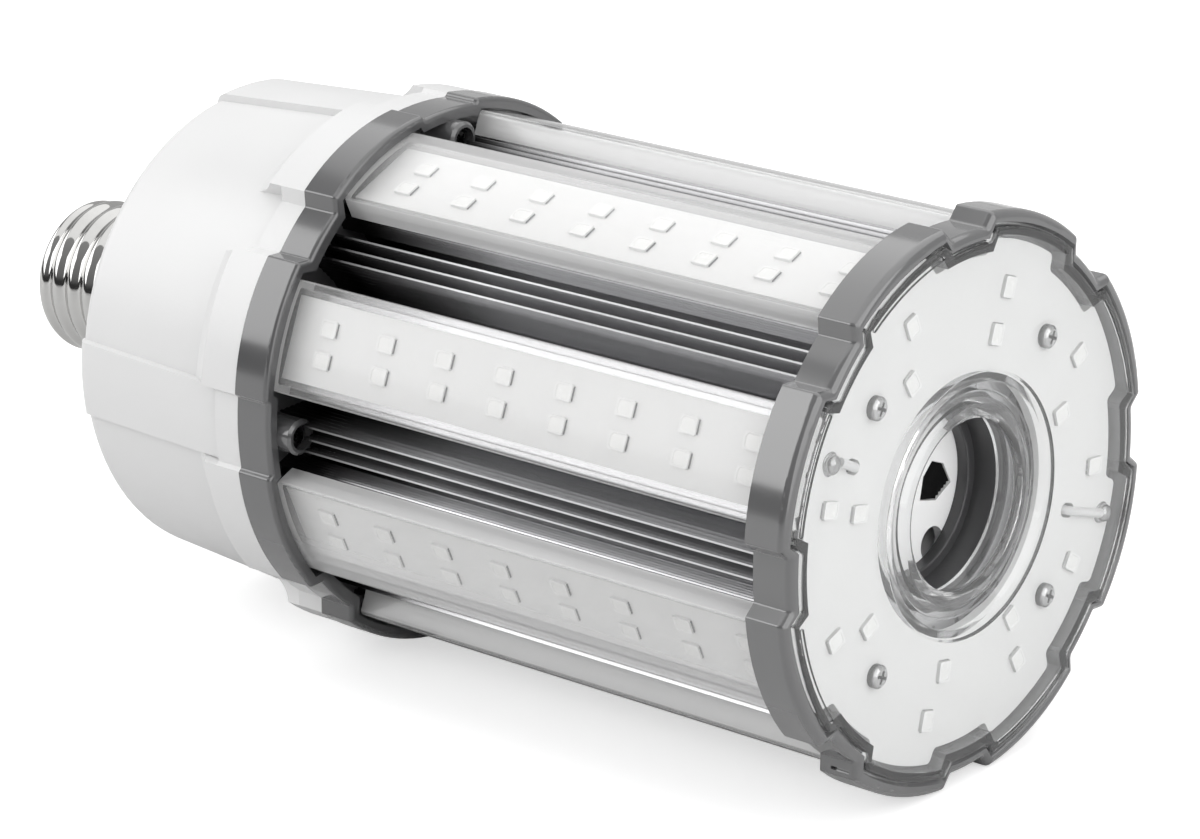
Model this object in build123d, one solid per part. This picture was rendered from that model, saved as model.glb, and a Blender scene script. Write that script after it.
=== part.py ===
from build123d import *
import math
import os

os.makedirs("parts", exist_ok=True)

# ---------------------------------------------------------------------------
# Retrofit LED lamp with an E26 screw base, millimetres.
# Each piece is drawn round the lamp's own axis (x, y across, z along, z = 0 at
# the back face of the front trim ring, + towards the lit end), then laid on
# its side: the lamp rests on two lobes of each trim ring, its axis along +X,
# screw base at -X, lit end at +X.
# An angle "a" runs clockwise from straight up, seen from the lit end.
# ---------------------------------------------------------------------------

# lobes, arms and side boards stand at 22.5 + 45 k; gaps stand at 45 k
N = 8
STEP = 360.0 / N
LOBE0 = 22.5

# trim rings
RING_R = 44.23          # lobe radius at the ends of a lobe
RING_R_MID = 44.50      # lobe radius at its middle
RING_REC = 42.04        # recess radius, front ring
RING_HALF = 15.15       # half angle of a front lobe
RING_FOOT = 17.18       # half angle where the step meets the recess
FRONT_T = 7.0           # front ring depth
FRONT_FILLET = 1.3
PLATE_Z0, PLATE_Z1 = 1.6, 3.1      # web of the front ring under the end board
REAR_Z0, REAR_Z1 = -101.9, -95.2   # rear ring
REAR_PLATE = -99.5                 # front face of the rear ring's web
REAR_REC = 42.16
REAR_SHALLOW = 43.50
POST_R, POST_AT, POST_Z1 = 2.9, 38.9, -92.5
POST_SEAT = -94.6                      # seat of the screw head in the post

# aluminium heat sink
SINK_Z0, SINK_Z1 = REAR_PLATE, PLATE_Z0
BORE_R, CORE_R = 17.5, 19.8
FLANGE_HALF, FLANGE_Z0, FLANGE_TOP = 8.65, 34.0, 37.2
SEAT_TOP = 38.6
FIN_TIP = 39.0
FIN_PITCH = 2.05
FIN_T0, FIN_T1 = 1.25, 0.62        # fin thickness at its foot and below its tip
FIN_TEETH = 14
SCREW_AT = 29.3         # end-board screws, four, at 45 + 90 k

# side boards and covers
BOARD_HALF, BOARD_T = 6.6, 0.8
CHIP_W, CHIP_L, CHIP_T = 2.8, 3.5, 0.5
CHIP_ROW = 2.5
CHIP_FIRST, CHIP_PITCH, CHIP_N = -4.9, 12.0, 8
COVER_R, COVER_HALF, COVER_WALL = 42.2, 8.9, 1.2
COVER_FOOT = 37.25
COVER_Z0, COVER_Z1 = -96.0, 1.5

# lit end
END_BOARD_R, END_BOARD_REC = 39.9, 37.5
END_BOARD_Z0, END_BOARD_Z1 = PLATE_Z1, 4.7
END_HOLE_R = 20.0
GLASS_R, GLASS_REC = 42.0, 39.88
GLASS_Z0, GLASS_Z1 = 6.3, 7.4
HUB_LIP_R, HUB_TUBE_R = 13.2, 14.5
RIM_GROOVE_R = 40.7

# white driver housing
HOUSE_R_FRONT, HOUSE_R_BACK = 41.63, 39.07
HOUSE_BACK = -141.5
WALL = 2.1
BAND_H = 1.13
COLLAR_BACK = -107.0
NECK_R = 16.6
NECK_BACK = -159.0

# E26 screw base
THREAD_R, THREAD_ROOT, PITCH = 13.15, 12.45, 3.629
SHELL_T = 0.35
SHELL_BACK = -181.4
TIP = -185.8

# leads
LEAD_D = 1.4


def pol(r, a):
    return (r * math.sin(math.radians(a)), r * math.cos(math.radians(a)))


def turned(shape, a):
    """Turn a shape drawn at straight up round to the angle a."""
    return Rot(0, 0, -a) * shape


def outline(r_mid, r_end, gaps):
    """Lobed outline. gaps(g) gives (recess radius, lobe end offset, foot offset)
    in degrees from the gap centre for gap g at 45 g."""
    edges = []
    for k in range(N):
        c = LOBE0 + STEP * k
        ga = gaps(k)            # gap before this lobe, at 45 k
        gb = gaps(k + 1)        # gap after it, at 45 (k + 1)
        s = STEP * k + ga[1]
        e = STEP * (k + 1) - gb[1]
        p, q = pol(r_end, s), pol(r_end, e)
        edges.append(ThreePointArc(p, pol(r_mid, 0.5 * (s + e)), q))
        f0 = pol(gb[0], STEP * (k + 1) - gb[2])
        f1 = pol(gb[0], STEP * (k + 1) + gb[2])
        n = pol(r_end, STEP * (k + 1) + gb[1])
        edges.append(Line(q, f0))
        edges.append(ThreePointArc(f0, pol(gb[0], STEP * (k + 1)), f1))
        edges.append(Line(f1, n))
    face = make_face(Wire(edges))
    return face


def even(r_rec, half, foot):
    return lambda g: (r_rec, 22.5 - half, 22.5 - foot)


def rear_gaps(shallow, deep, more=0.0):
    """Gaps of the rear ring: shallow over the screw posts, deep between."""
    def f(g):
        if g % 2 == 0:
            return (shallow, 8.3 + more, 7.7 + more)
        return (deep, 7.74 + more, 5.78 + more)
    return f


def prism(face, z0, z1):
    return extrude(Pos(0, 0, z0) * face, amount=z1 - z0, dir=(0, 0, 1))


def rev(pts, rounds=None):
    """Solid of revolution from (radius, z) points, with some corners rounded."""
    sk = make_face(Polyline(*[(p[0], p[1]) for p in pts], close=True))
    if rounds:
        for (i, r) in rounds:
            v = sorted(sk.vertices(), key=lambda w: math.hypot(w.X - pts[i][0], w.Y - pts[i][1]))[0]
            sk = fillet([v], r)
    return revolve(Plane.XZ * sk, axis=Axis.Z)


def cyl(r, z0, z1, at=(0, 0)):
    return Pos(at[0], at[1], z0) * Cylinder(r, z1 - z0, align=(Align.CENTER, Align.CENTER, Align.MIN))


def box(x0, x1, y0, y1, z0, z1):
    return Pos(x0, y0, z0) * Box(x1 - x0, y1 - y0, z1 - z0, align=(Align.MIN, Align.MIN, Align.MIN))


def one(shape):
    """The piece as one solid, its largest."""
    s = shape.solids()
    if len(s) != 1:
        print("WARNING", len(s), "solids", [round(v.volume, 3) for v in s][:6])
    return sorted(s, key=lambda v: v.volume)[-1]


def soft_edges(part, edges, radii):
    """Round these edges with the first radius that the solid takes."""
    for r in radii:
        try:
            out = fillet(edges, r)
            if out.is_valid and out.volume > 0:
                return out
        except Exception:
            pass
    print("edges left sharp")
    return part


def at_z(part, z, tol=0.02):
    return [e for e in part.edges() if abs(e.bounding_box().min.Z - z) < tol and abs(e.bounding_box().max.Z - z) < tol]


# ------------------------------------------------------------- heat sink ----
def serrated(p, q, n, depth):
    """Points of a saw-tooth wall from p to q, teeth cut to the left of it."""
    dx, dy = q[0] - p[0], q[1] - p[1]
    L = math.hypot(dx, dy)
    nx, ny = -dy / L, dx / L
    pts = [p]
    for i in range(n):
        a = (i + 0.5) / n
        b = (i + 1.0) / n
        pts.append((p[0] + dx * a + nx * depth, p[1] + dy * a + ny * depth))
        pts.append((p[0] + dx * b, p[1] + dy * b))
    return pts


def make_sink():
    right = [(4.4, 18.8)]
    right += serrated((4.6, 25.0), (5.4, 33.0), 12, 0.16)
    right += [(5.4, 33.3)]
    right += serrated((FLANGE_HALF, FLANGE_Z0), (FLANGE_HALF, FLANGE_TOP - 0.2), 6, 0.11)
    right += [(FLANGE_HALF - 0.2, FLANGE_TOP), (6.85, FLANGE_TOP), (6.85, 37.9), (7.55, 37.9), (7.55, SEAT_TOP)]
    pts = right + [(-x, y) for (x, y) in reversed(right)]
    arm = make_face(Polyline(*pts, close=True))
    half = [(3.0, 20.6), (3.9, 33.2), (3.9, 34.7), (6.4, 35.3), (6.4, 36.4), (5.2, 37.2)]
    cavity = make_face(Polyline(*(half + [(-x, y) for (x, y) in reversed(half)]), close=True))
    arm = arm - cavity
    ring = Circle(CORE_R) - Circle(BORE_R)
    total = ring
    for k in range(N):
        total = total + turned(arm, LOBE0 + STEP * k)
    for g in range(N):
        fins = make_face(Polyline((-2.6, 18.8), (2.6, 18.8), (2.6, 22.6), (-2.6, 22.6), close=True))
        # each fin thins towards its tip and has fine teeth on both sides
        edge = [(FIN_T0 / 2, 22.0)] + serrated((FIN_T0 / 2, 22.3), (FIN_T1 / 2, FIN_TIP - 0.5), FIN_TEETH, 0.16) + [(0.16, FIN_TIP)]
        for u in (-FIN_PITCH, 0.0, FIN_PITCH):
            fins = fins + make_face(Polyline(*([(u + x, y) for (x, y) in edge] + [(u - x, y) for (x, y) in reversed(edge)]), close=True))
        if g % 2 == 1:
            fins = fins + Pos(0, SCREW_AT) * Circle(2.7)
            fins = fins - Pos(0, SCREW_AT) * Circle(1.3)
        total = total + turned(fins, STEP * g)
    sink = extrude(Pos(0, 0, SINK_Z0) * total, amount=SINK_Z1 - SINK_Z0, dir=(0, 0, 1))
    # room for the four screw posts of the rear ring
    for a in (0, 90, 180, 270):
        p = pol(POST_AT, a)
        sink = sink - cyl(POST_R + 0.3, SINK_Z0 - 1, POST_Z1 + 0.6, p)
    return one(sink)


# ------------------------------------------------------------ front ring ----
def make_front_ring():
    body = prism(outline(RING_R_MID, RING_R, even(RING_REC, RING_HALF, RING_FOOT)), 0, FRONT_T)
    body = one(body)
    upright = [e for e in body.edges() if e.bounding_box().size.Z > FRONT_T * 0.9]
    body = soft_edges(body, upright, (0.5, 0.35))
    body = soft_edges(body, at_z(body, FRONT_T), (FRONT_FILLET, 1.1, 0.9, 0.7, 0.5))
    # pocket over the ends of the side covers, arms and fins
    pocket = outline(42.42, 42.42, even(39.9, 13.2, 15.2))
    body = body - prism(pocket, -1, PLATE_Z0)
    # seat of the end board and of the clear cover, walls opening out a little
    lo = outline(42.10, 42.10, even(40.0, 14.3, 16.4))
    body = body - prism(lo, PLATE_Z1, FRONT_T + 1)
    lip0 = outline(42.20, 42.20, even(40.1, 14.35, 16.35))
    lip1 = outline(42.75, 42.75, even(40.55, 14.6, 16.1))
    flare = loft([Pos(0, 0, FRONT_T - 0.55) * lip0, Pos(0, 0, FRONT_T + 0.15) * lip1], ruled=True)
    body = body - flare
    # web: centre opening, screw holes, lead holes
    body = body - cyl(24.2, -1, FRONT_T)
    for a in (45, 135, 225, 315):
        body = body - cyl(1.6, 0, FRONT_T, pol(SCREW_AT, a))
    for (r, a) in LEADS:
        body = body - cyl(1.5, 0, FRONT_T, pol(r, a))
    # narrow snap slots in the end faces of two opposite lobes
    for k in (0, 4):
        slot = turned(Pos(0, 43.35, 3.7) * Box(0.9, 0.5, 3.4), LOBE0 + STEP * k + RING_HALF + 0.35)
        body = body - slot
    return one(body)


# ------------------------------------------------------------- rear ring ----
def make_rear_ring():
    body = one(prism(outline(RING_R_MID, RING_R, rear_gaps(REAR_SHALLOW, REAR_REC)), REAR_Z0, REAR_Z1))
    upright = [e for e in body.edges() if e.bounding_box().size.Z > 6.0]
    body = soft_edges(body, upright, (0.5, 0.3))
    body = soft_edges(body, at_z(body, REAR_Z1), (0.8, 0.6, 0.4))
    pocket = outline(42.6, 42.6, rear_gaps(41.6, 40.1, 1.2))
    body = body - prism(pocket, REAR_PLATE, REAR_Z1 + 1)
    body = body - cyl(24.2, REAR_Z0 - 1, REAR_Z1)
    for a in (0, 90, 180, 270):
        p = pol(POST_AT, a)
        post = cyl(POST_R, REAR_PLATE - 0.5, POST_Z1, p)
        post = chamfer(at_z(post, POST_Z1), 0.45)
        # a rib ties the post to the ring's wall
        rib = turned(box(-1.2, 1.2, 41.0, 42.9, REAR_PLATE - 0.5, REAR_Z1 - 0.4), a)
        body = body + post + rib
        body = body - cyl(2.0, POST_SEAT, POST_Z1 + 1, p)
        body = body - cyl(1.45, REAR_Z0 - 1, POST_Z1 + 1, p)
    for (r, a) in LEADS:
        body = body - cyl(1.5, REAR_Z0 - 1, REAR_Z1, pol(r, a))
    return one(body)


# --------------------------------------------------------------- housing ----
def body_r(z):
    k = (HOUSE_R_FRONT - HOUSE_R_BACK) / (REAR_Z0 - HOUSE_BACK)
    return HOUSE_R_BACK + k * (z - HOUSE_BACK)


def make_housing():
    zf = REAR_Z0
    pts = [(0, zf), (body_r(zf), zf), (HOUSE_R_BACK, HOUSE_BACK), (20.5, -147.6), (NECK_R, -152.0),
           (NECK_R - 0.3, NECK_BACK), (0, NECK_BACK)]
    body = rev(pts, [(2, 1.8), (3, 5.0), (5, 0.6)])
    # four raised bands, running from the back edge to the collar
    bpts = [(0, zf), (body_r(zf) + BAND_H, zf), (HOUSE_R_BACK + BAND_H, HOUSE_BACK), (30.0, HOUSE_BACK), (30.0, HOUSE_BACK + 4), (0, HOUSE_BACK + 4)]
    bcone = rev(bpts, [(2, 1.8)])
    for a in (0, 90, 180, 270):
        w0, w1 = pol(38.9, 9.15), pol(43.2, 7.75)
        wedge = make_face(Polyline((-w0[0], 20), (w0[0], 20), (w0[0], w0[1]), (w1[0], w1[1]), (-w1[0], w1[1]), (-w0[0], w0[1]), close=True))
        body = body + (bcone & turned(prism(wedge, HOUSE_BACK, zf), a))
    # collar with the lobes of the rear ring, and a hollow ramp behind each lobe
    shape = outline(RING_R_MID - 0.12, RING_R - 0.12, rear_gaps(REAR_SHALLOW - 0.1, REAR_REC - 0.1))
    body = body + prism(shape, COLLAR_BACK, zf)
    ramp = make_face(Wire([
        Line((30.0, COLLAR_BACK + 0.5), (30.0, -114.6)),
        Line((30.0, -114.6), (body_r(-114.6) - 0.15, -114.6)),
        ThreePointArc((body_r(-114.6) - 0.15, -114.6), (42.15, -111.35), (RING_R_MID + 0.6, -108.9)),
        Line((RING_R_MID + 0.6, -108.9), (RING_R_MID + 0.6, COLLAR_BACK + 0.5)),
        Line((RING_R_MID + 0.6, COLLAR_BACK + 0.5), (30.0, COLLAR_BACK + 0.5))]))
    ramp = revolve(Plane.XZ * ramp, axis=Axis.Z)
    only = outline(RING_R_MID - 0.12, RING_R - 0.12, lambda g: (30.5, rear_gaps(0, 0)(g)[1], rear_gaps(0, 0)(g)[1] + 0.0))
    body = body + (ramp & prism(only, -115.0, COLLAR_BACK + 0.4))
    # inside: cavity, neck bore
    ins = [(0, zf + 1), (body_r(zf) - WALL, zf + 1), (body_r(zf) - WALL, zf), (HOUSE_R_BACK - WALL, HOUSE_BACK + 2.0), (19.0, -145.4), (13.8, -150.5), (10.4, -158.0), (10.4, -176.5), (0, -176.5)]
    spigot = rev([(0, NECK_BACK + 2), (12.0, NECK_BACK + 2), (12.0, -175.5), (0, -175.5)])
    body = body + spigot
    body = body - rev(ins)
    # bosses that take the four long screws, and two pairs of board guides
    for a in (0, 90, 180, 270):
        p = pol(POST_AT, a)
        boss = cyl(3.0, -112.0, zf, p) & rev([(0, zf), (body_r(zf) + 0.5, zf), (body_r(-112.0) + 0.5, -112.0), (0, -112.0)])
        body = body + boss
        body = body - cyl(1.15, -111.0, zf + 1, p)
    for s in (-1, 1):
        for (y0, y1) in ((-2.0, -0.9), (0.9, 2.0)):
            x0, x1 = (13.2, 17.2) if s > 0 else (-17.2, -13.2)
            rail = box(x0, x1, y0, y1, -149.0, -126.0)
            body = body + rail
    return one(body)


# ----------------------------------------------------------- screw base -----
def make_shell():
    """Thin shell with rounded thread crests; drawn as rings of the true pitch."""
    z0 = NECK_BACK - 0.05
    pts = [(THREAD_ROOT + 0.35, z0), (THREAD_ROOT + 0.35, z0 - 1.2)]
    amp = (THREAD_R - THREAD_ROOT) / 2
    zs = z0 - 1.6
    ze = SHELL_BACK + 1.3
    m = 46
    for i in range(m + 1):
        z = zs + (ze - zs) * i / m
        r = THREAD_ROOT + amp + amp * math.cos(2 * math.pi * (z + 180.6) / PITCH)
        pts.append((r, z))
    outer = pts + [(11.9, SHELL_BACK + 0.35), (10.6, SHELL_BACK)]
    inner = [(10.6, SHELL_BACK + SHELL_T), (11.6, SHELL_BACK + 0.35 + SHELL_T)] + [(r - SHELL_T, z) for (r, z) in reversed(pts)]
    sk = make_face(Polyline(*(outer + inner), close=True))
    return one(revolve(Plane.XZ * sk, axis=Axis.Z))


def make_insulator():
    return one(rev([(0, -176.6), (11.0, -176.6), (11.0, -180.4), (10.55, SHELL_BACK + SHELL_T + 0.05), (10.5, SHELL_BACK - 0.15), (9.9, -182.3),
                    (5.4, -184.6), (4.6, -184.6), (4.6, -183.2), (0.9, -183.2), (0.9, -178.2), (0, -178.2)], [(5, 0.6), (6, 0.4)]) - cyl(0.9, -184, -176))


def make_contact():
    return one(rev([(0, -182.2), (0.85, -182.2), (0.85, -183.2), (4.5, -183.2), (4.5, -185.1), (3.6, -185.6), (0, TIP)], [(4, 0.5)]))


# ----------------------------------------------------------- side boards ----
def make_side_cover():
    outer = Circle(COVER_R) & Pos(0, COVER_FOOT + 10) * Rectangle(2 * COVER_HALF, 20)
    outer = outer.faces()[0]
    tops = [v for v in outer.vertices() if v.Y > 40]
    outer = fillet(tops, 1.0)
    inner = Circle(COVER_R - COVER_WALL) & Pos(0, COVER_FOOT + 9.9) * Rectangle(2 * (COVER_HALF - COVER_WALL), 20.4)
    inner = inner.faces()[0]
    itops = [v for v in inner.vertices() if v.Y > 39]
    inner = fillet(itops, 0.5)
    sec = outer - inner
    for s in (-1, 1):
        x0 = 6.95 if s > 0 else -(COVER_HALF - COVER_WALL) - 0.05
        sec = sec + Pos(x0 + 0.4, COVER_FOOT + 0.3) * Rectangle(0.8, 0.6)
    return one(prism(sec.faces()[0], COVER_Z0, COVER_Z1))


def make_side_board():
    b = box(-BOARD_HALF, BOARD_HALF, SEAT_TOP, SEAT_TOP + BOARD_T, COVER_Z0 - 0.4, COVER_Z1)
    return one(b)


def make_side_chips():
    chips = []
    y0 = SEAT_TOP + BOARD_T
    for s in (-1, 1):
        for i in range(CHIP_N):
            z = CHIP_FIRST - CHIP_PITCH * i
            x = s * CHIP_ROW
            chips.append(box(x - CHIP_W / 2, x + CHIP_W / 2, y0, y0 + CHIP_T, z - CHIP_L / 2, z + CHIP_L / 2))
    return chips


# --------------------------------------------------------------- lit end ----
# lead positions: radius and angle of the hole, radius of the solder joint
LEADS = [(28.4, 297.0), (27.9, 108.3)]
JOINTS = [33.5, 36.8]
# chips of the end board: (radius, angle)
END_CHIPS = [(32.8, 19.8), (25.6, 18.6), (33.0, 338.4), (25.2, 331.1), (33.0, 62.0), (25.8, 73.5), (33.6, 95.9), (32.9, 122.2),
             (32.4, 154.3), (25.2, 150.5), (33.0, 195.0), (25.6, 189.9), (32.6, 248.0), (25.6, 240.6), (32.4, 284.6), (25.2, 283.0)]


def make_end_board():
    b = one(prism(outline(END_BOARD_R, END_BOARD_R, even(END_BOARD_REC, 11.6, 12.9)), END_BOARD_Z0, END_BOARD_Z1))
    upright = [e for e in b.edges() if e.bounding_box().size.Z > 1.5]
    b = soft_edges(b, upright, (1.0, 0.6, 0.4))
    b = b - cyl(END_HOLE_R, 0, 6)
    for a in (45, 135, 225, 315):
        b = b - cyl(1.5, 0, 6, pol(SCREW_AT, a))
    for (r, a) in LEADS:
        b = b - cyl(1.15, 0, 6, pol(r, a)) - cyl(1.15, 0, 6, pol(r + 1.0, a)) - turned(box(-1.15, 1.15, r, r + 1.0, 0, 6), a)
    return one(b)


def make_end_chips():
    out = []
    for (r, a) in END_CHIPS:
        c = box(-CHIP_W / 2, CHIP_W / 2, r - CHIP_L / 2, r + CHIP_L / 2, END_BOARD_Z1, END_BOARD_Z1 + 0.6)
        out.append(one(turned(c, a)))
    return out


def make_end_screws():
    out = []
    for a in (45, 135, 225, 315):
        p = pol(SCREW_AT, a)
        z = END_BOARD_Z1
        s = rev([(0, z - 7.0), (0.7, z - 7.0), (1.2, z - 6.3), (1.2, z), (1.85, z), (1.85, z + 0.95), (1.25, z + 1.4), (0, z + 1.45)], [(5, 0.35)])
        s = s - Pos(0, 0, z + 1.05) * Box(2.1, 0.5, 0.9) - Pos(0, 0, z + 1.05) * Box(0.5, 2.1, 0.9)
        out.append(one(Pos(p[0], p[1], 0) * Rot(0, 0, 20 - a) * s))
    return out


def make_end_cover():
    body = one(prism(outline(GLASS_R, GLASS_R, even(GLASS_REC, 14.2, 16.3)), GLASS_Z0, GLASS_Z1))
    upright = [e for e in body.edges() if e.bounding_box().size.Z > 1.0]
    body = soft_edges(body, upright, (0.8, 0.5))
    body = soft_edges(body, at_z(body, GLASS_Z1), (0.6, 0.4, 0.3))
    body = body - cyl(20.6, 0, 20)
    # shallow round-ended groove along the edge of each lobe
    for k in range(N):
        a = LOBE0 + STEP * k
        groove = SlotArc(CenterArc((0, 0), RIM_GROOVE_R, 90 - a - 12.3, 24.6), 0.75)
        body = body - extrude(Pos(0, 0, GLASS_Z1 - 0.4) * groove, amount=1.0, dir=(0, 0, 1))
    # skirt that stands on the web of the ring, outside the end board
    sk_o = outline(41.80, 41.80, even(39.65, 14.15, 16.25))
    sk_i = outline(40.65, 40.65, even(38.35, 12.9, 14.3))
    skirt = prism(sk_o, PLATE_Z1, GLASS_Z0 + 0.2) - prism(sk_i, PLATE_Z1 - 1, GLASS_Z0 + 1)
    body = body + skirt
    # stepped hub round the air opening
    hub = rev([(20.9, 6.3), (20.9, 7.4), (20.3, 6.95), (18.9, 6.95), (17.3, 5.95), (16.3, 5.85), (15.3, 6.55), (13.8, 6.6), (13.2, 6.1), (13.2, 5.3),
               (14.5, 4.4), (14.5, 1.0), (15.7, 1.0), (15.8, 4.6), (17.6, 4.7), (19.2, 5.75), (20.1, 6.3)],
              [(3, 0.4), (4, 0.8), (6, 0.5), (7, 0.4), (9, 0.4)])
    body = body + hub
    return one(body)


def make_core_sleeve():
    return one(rev([(14.5, 0.95), (16.9, 0.95), (16.9, 0.2), (17.45, 0.2), (17.45, -5.0), (12.9, -5.0), (12.9, -3.0), (14.5, -3.0)], [(6, 0.3)]))


def make_driver_case():
    """White can in the bore of the heat sink, closed at the lit end, with a flange at the back."""
    case = rev([(0, -5.05), (17.4, -5.05), (17.4, -101.9 + 0.0), (0, -101.9)]) - rev([(0, -6.6), (15.9, -6.6), (15.9, -103), (0, -103)])
    flange = cyl(24.0, REAR_Z0 + 0.1, REAR_PLATE) - cyl(15.9, REAR_Z0 - 1, REAR_PLATE + 1)
    case = case + flange
    # six-sided vent with its mesh of small cells, and a round hole
    vent = make_face(Polyline(*VENT, close=True))
    case = case - prism(vent, -5.9, 0)
    for (x, y) in VENT_CELLS:
        case = case - prism(Pos(x, y) * RegularPolygon(0.42, 6), -8, -5)
    case = case - cyl(2.75, -8, 0, HOLE_AT)
    for s in (-1, 1):
        for (y0, y1) in ((-2.0, -0.9), (0.9, 2.0)):
            x0, x1 = (13.4, 16.2) if s > 0 else (-16.2, -13.4)
            case = case + box(x0, x1, y0, y1, -101.0, -14.0)
    return one(case)


VENT = [(6.6, 2.6), (9.4, 1.4), (11.2, -2.1), (7.5, -4.0), (3.6, -2.9), (4.4, 0.6)]
VENT_CELLS = [(2.5 + 1.0 * i + (0.5 if j % 2 else 0.0), -4.6 + 0.87 * j) for j in range(10) for i in range(11)]
HOLE_AT = (6.6, -10.7)


def inside(p, poly):
    n = len(poly)
    r = False
    for i in range(n):
        a, b = poly[i], poly[(i + 1) % n]
        if (a[1] > p[1]) != (b[1] > p[1]) and p[0] < (b[0] - a[0]) * (p[1] - a[1]) / (b[1] - a[1]) + a[0]:
            r = not r
    return r


def edge_gap(p, poly):
    d = 99.0
    n = len(poly)
    for i in range(n):
        a, b = poly[i], poly[(i + 1) % n]
        t = max(0.0, min(1.0, ((p[0] - a[0]) * (b[0] - a[0]) + (p[1] - a[1]) * (b[1] - a[1])) / ((b[0] - a[0]) ** 2 + (b[1] - a[1]) ** 2)))
        d = min(d, math.hypot(p[0] - a[0] - t * (b[0] - a[0]), p[1] - a[1] - t * (b[1] - a[1])))
    return d


VENT_CELLS = [c for c in VENT_CELLS if inside(c, VENT) and edge_gap(c, VENT) > 0.5]


# ---------------------------------------------------------------- driver ----
DB_Z0, DB_Z1 = -146.0, -12.0


def make_driver_board():
    b = box(-15.2, 15.2, -0.8, 0.8, DB_Z0, DB_Z1)
    return one(b)


def make_transformer():
    z = -118.0
    core = box(-10, 10, 0.8, 17.8, z - 9, z + 9) - box(-6.5, 6.5, 3.6, 15.0, z - 12, z + 12)
    core = core + box(-2.6, 2.6, 3.6, 15.0, z - 9, z + 9)
    return one(core)


def make_winding():
    z = -118.0
    w = box(-6.3, 6.3, 3.8, 14.8, z - 12.2, z + 12.2) - box(-2.8, 2.8, 3.0, 15.6, z - 9.2, z + 9.2)
    return one(w)


def can(r, length, at, axis="z"):
    c = rev([(0, 0), (r, 0), (r, length), (0, length)], [(1, 0.6), (2, 0.6)])
    groove = rev([(r - 0.35, 1.8), (r + 1, 1.5), (r + 1, 2.7), (r - 0.35, 2.4)])
    return one(Pos(*at) * (c - groove))


def make_choke():
    t = Pos(0, -3.8, -113.0) * Rot(90, 0, 0) * Torus(7.0, 3.0)
    return one(t)


def lead_path(i):
    r, a = LEADS[i]
    zc = END_BOARD_Z1 + LEAD_D / 2 + 0.02
    rj = JOINTS[i]
    s = math.sin(math.radians(a)), math.cos(math.radians(a))

    def at(rad, z):
        return (rad * s[0], rad * s[1], z)

    pts = [at(rj - 0.4, zc), at(r, zc), at(r, -106.5), at(18.0, -108.6)]
    radii = [1.5, 3.6]
    return FilletPolyline(*pts, radius=radii)


def make_lead(i):
    path = lead_path(i)
    start = path @ 0
    tang = path % 0
    prof = Plane(origin=start, z_dir=tang) * Circle(LEAD_D / 2)
    tube = sweep(prof, path=path)
    tube = one(tube)
    print("lead", i, "length %.1f mm" % path.length, "volume ratio %.4f" % (tube.volume / (path.length * math.pi * (LEAD_D / 2) ** 2)))
    return tube


def make_joint(i):
    """Domed solder joint at the end of a lead."""
    r, a = LEADS[i]
    p = pol(JOINTS[i] + 1.15, a)
    z = END_BOARD_Z1
    d = rev([(0, z), (1.5, z), (1.35, z + 0.55), (0.75, z + 1.15), (0, z + 1.3)], [(2, 0.35), (3, 0.3)])
    return one(Pos(p[0], p[1], 0) * d)


def make_housing_screws():
    out = []
    for a in (0, 90, 180, 270):
        p = pol(POST_AT, a)
        zh = POST_SEAT
        s = rev([(0, -110.0), (0.5, -110.0), (1.05, -109.0), (1.05, zh), (1.85, zh), (1.85, zh + 0.8), (1.1, zh + 1.25), (0, zh + 1.25)], [(5, 0.35)])
        s = s - Pos(0, 0, zh + 1.0) * Box(1.9, 0.45, 0.9) - Pos(0, 0, zh + 1.0) * Box(0.45, 1.9, 0.9)
        out.append(one(Pos(p[0], p[1], 0) * Rot(0, 0, 35 + a) * s))
    return out


def straight_lead(pts, radii, d):
    path = FilletPolyline(*pts, radius=radii)
    prof = Plane(origin=path @ 0, z_dir=path % 0) * Circle(d / 2)
    tube = one(sweep(prof, path=path))
    print("base lead length %.1f mm" % path.length, "volume ratio %.4f" % (tube.volume / (path.length * math.pi * (d / 2) ** 2)))
    return tube


# --------------------------------------------------------------- assembly ---
parts = {}
parts["heat_sink"] = [make_sink()]
parts["front_ring"] = [make_front_ring()]
parts["rear_ring"] = [make_rear_ring()]
parts["driver_housing"] = [make_housing()]
parts["screw_shell"] = [make_shell()]
parts["base_insulator"] = [make_insulator()]
parts["centre_contact"] = [make_contact()]
cover, board, chips = make_side_cover(), make_side_board(), make_side_chips()
side_chips = []
for k in range(N):
    a = LOBE0 + STEP * k
    parts["side_cover_%d" % (k + 1)] = [turned(cover, a)]
    parts["led_board_%d" % (k + 1)] = [turned(board, a)]
    side_chips += [turned(c, a) for c in chips]
parts["side_led_chips"] = side_chips
parts["end_board"] = [make_end_board()]
parts["end_led_chips"] = make_end_chips()
parts["end_screws"] = make_end_screws()
parts["end_cover"] = [make_end_cover()]
parts["solder_joints"] = [make_joint(0), make_joint(1)]
parts["lead_live"] = [make_lead(0)]
parts["lead_return"] = [make_lead(1)]
parts["core_sleeve"] = [make_core_sleeve()]
parts["driver_case"] = [make_driver_case()]
parts["driver_board"] = [make_driver_board()]
parts["transformer_core"] = [make_transformer()]
parts["transformer_winding"] = [make_winding()]
parts["input_capacitor"] = [can(6.4, 20.0, (5.0, -7.4, -145.0))]
parts["output_capacitor"] = [can(5.0, 18.0, (0.0, 6.0, -60.0))]
parts["filter_choke"] = [make_choke()]
parts["rectifier"] = [one(box(-8.5, -2.5, -6.6, -0.8, -140.0, -131.0))]
parts["housing_screws"] = make_housing_screws()
parts["centre_lead"] = [straight_lead([(0, 3.2, -141.0), (0, 3.2, -152.0), (0, 0, -163.0), (0, 0, -182.15)], [10.0, 14.0], 1.2)]
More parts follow.
